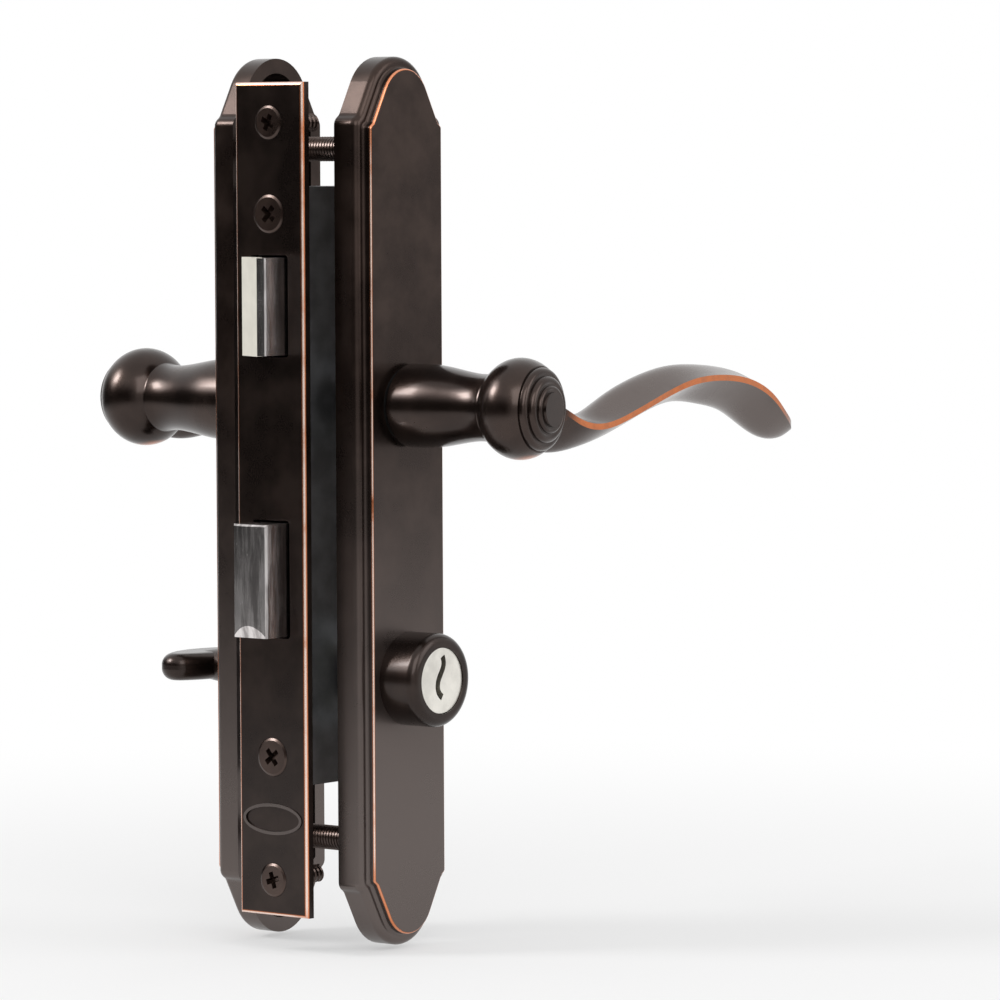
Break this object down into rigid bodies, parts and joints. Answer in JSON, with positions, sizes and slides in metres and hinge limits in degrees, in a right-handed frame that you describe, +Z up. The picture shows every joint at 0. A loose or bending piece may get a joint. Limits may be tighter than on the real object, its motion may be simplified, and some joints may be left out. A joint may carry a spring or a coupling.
{
  "type": "storm door lever set",
  "caption": "Storm door lever set with arched plates, wave levers with ringed balls, a key cylinder outside, a thumbturn inside, and a mortise latch and deadbolt.",
  "frame": {"origin": "on the spindle's axis, at the outer face of the door where the outer plate sits", "axes": "+X along the levers away from the door's edge, +Y through the door towards the room, +Z up"},
  "size_m": [0.1242, 0.124, 0.1916],
  "materials": {
    "aged_bronze": "satin dark bronze, worn to copper on its edges",
    "dark_screw": "satin dark bronze",
    "satin_nickel": "satin",
    "bright_chrome": "bright plated",
    "ivory_nylon": "matt",
    "black_nylon": "matt",
    "zinc_steel": "zinc plated",
    "spring_steel": "plain",
    "plain_steel": "plain"
  },
  "bodies": {
    "lock": {"exterior_escutcheon": "aged_bronze", "interior_escutcheon": "aged_bronze", "mounting_screws": "dark_screw", "exterior_lever_bush": "black_nylon", "interior_lever_bush": "black_nylon", "key_cylinder": "aged_bronze", "cylinder_nut": "zinc_steel", "mortise_case": "zinc_steel", "case_cover": "zinc_steel", "cover_screws": "zinc_steel", "faceplate": "aged_bronze", "faceplate_screws": "dark_screw", "door_edge_screws": "dark_screw", "latch_spring": "spring_steel", "hub_spring": "spring_steel", "deadbolt_spring": "spring_steel"},
    "levers": {"exterior_lever": "aged_bronze", "interior_lever": "aged_bronze", "spindle": "plain_steel", "spindle_pin": "plain_steel", "interior_set_screw": "plain_steel", "lever_hub": "zinc_steel", "exterior_lever_clip": "spring_steel", "interior_lever_clip": "spring_steel"},
    "latch": {"latch_bolt": "bright_chrome", "latch_insert": "ivory_nylon"},
    "turn": {"thumbturn": "aged_bronze", "thumbturn_clip": "spring_steel", "tailpiece": "plain_steel", "deadbolt_cam": "zinc_steel"},
    "bolt": {"deadbolt": "bright_chrome"},
    "plug": {"key_plug": "satin_nickel", "plug_clip": "spring_steel"}
  },
  "joints": [
    {"name": "levers_turn", "type": "hinge", "parent": "lock", "child": "levers", "pos_m": [0, 0, 0], "axis": [0, 1, 0], "range_deg": [0, 45], "stiffness_Nm_per_rad": 0.35, "springref_deg": -34.38, "deforming": ["hub_spring"]},
    {"name": "latch_slide", "type": "slide", "parent": "lock", "child": "latch", "axis": [1, 0, 0], "range_m": [0, 0.0072], "deforming": ["latch_spring"]},
    {"name": "thumbturn_turn", "type": "hinge", "parent": "lock", "child": "turn", "pos_m": [0, 0, -0.0589], "axis": [0, 1, 0], "range_deg": [0, 90]},
    {"name": "deadbolt_slide", "type": "slide", "parent": "lock", "child": "bolt", "axis": [1, 0, 0], "range_m": [0, 0.008]},
    {"name": "key_plug_turn", "type": "hinge", "parent": "lock", "child": "plug", "pos_m": [0, 0, -0.0589], "axis": [0, 1, 0], "range_deg": [-90, 90]}
  ],
  "couplings": [
    {"joint": "latch_slide", "follows": "levers_turn", "m_per_rad": 0.0091603},
    {"joint": "thumbturn_turn", "follows": "deadbolt_slide", "rad_per_m": 196.24}
  ]
}
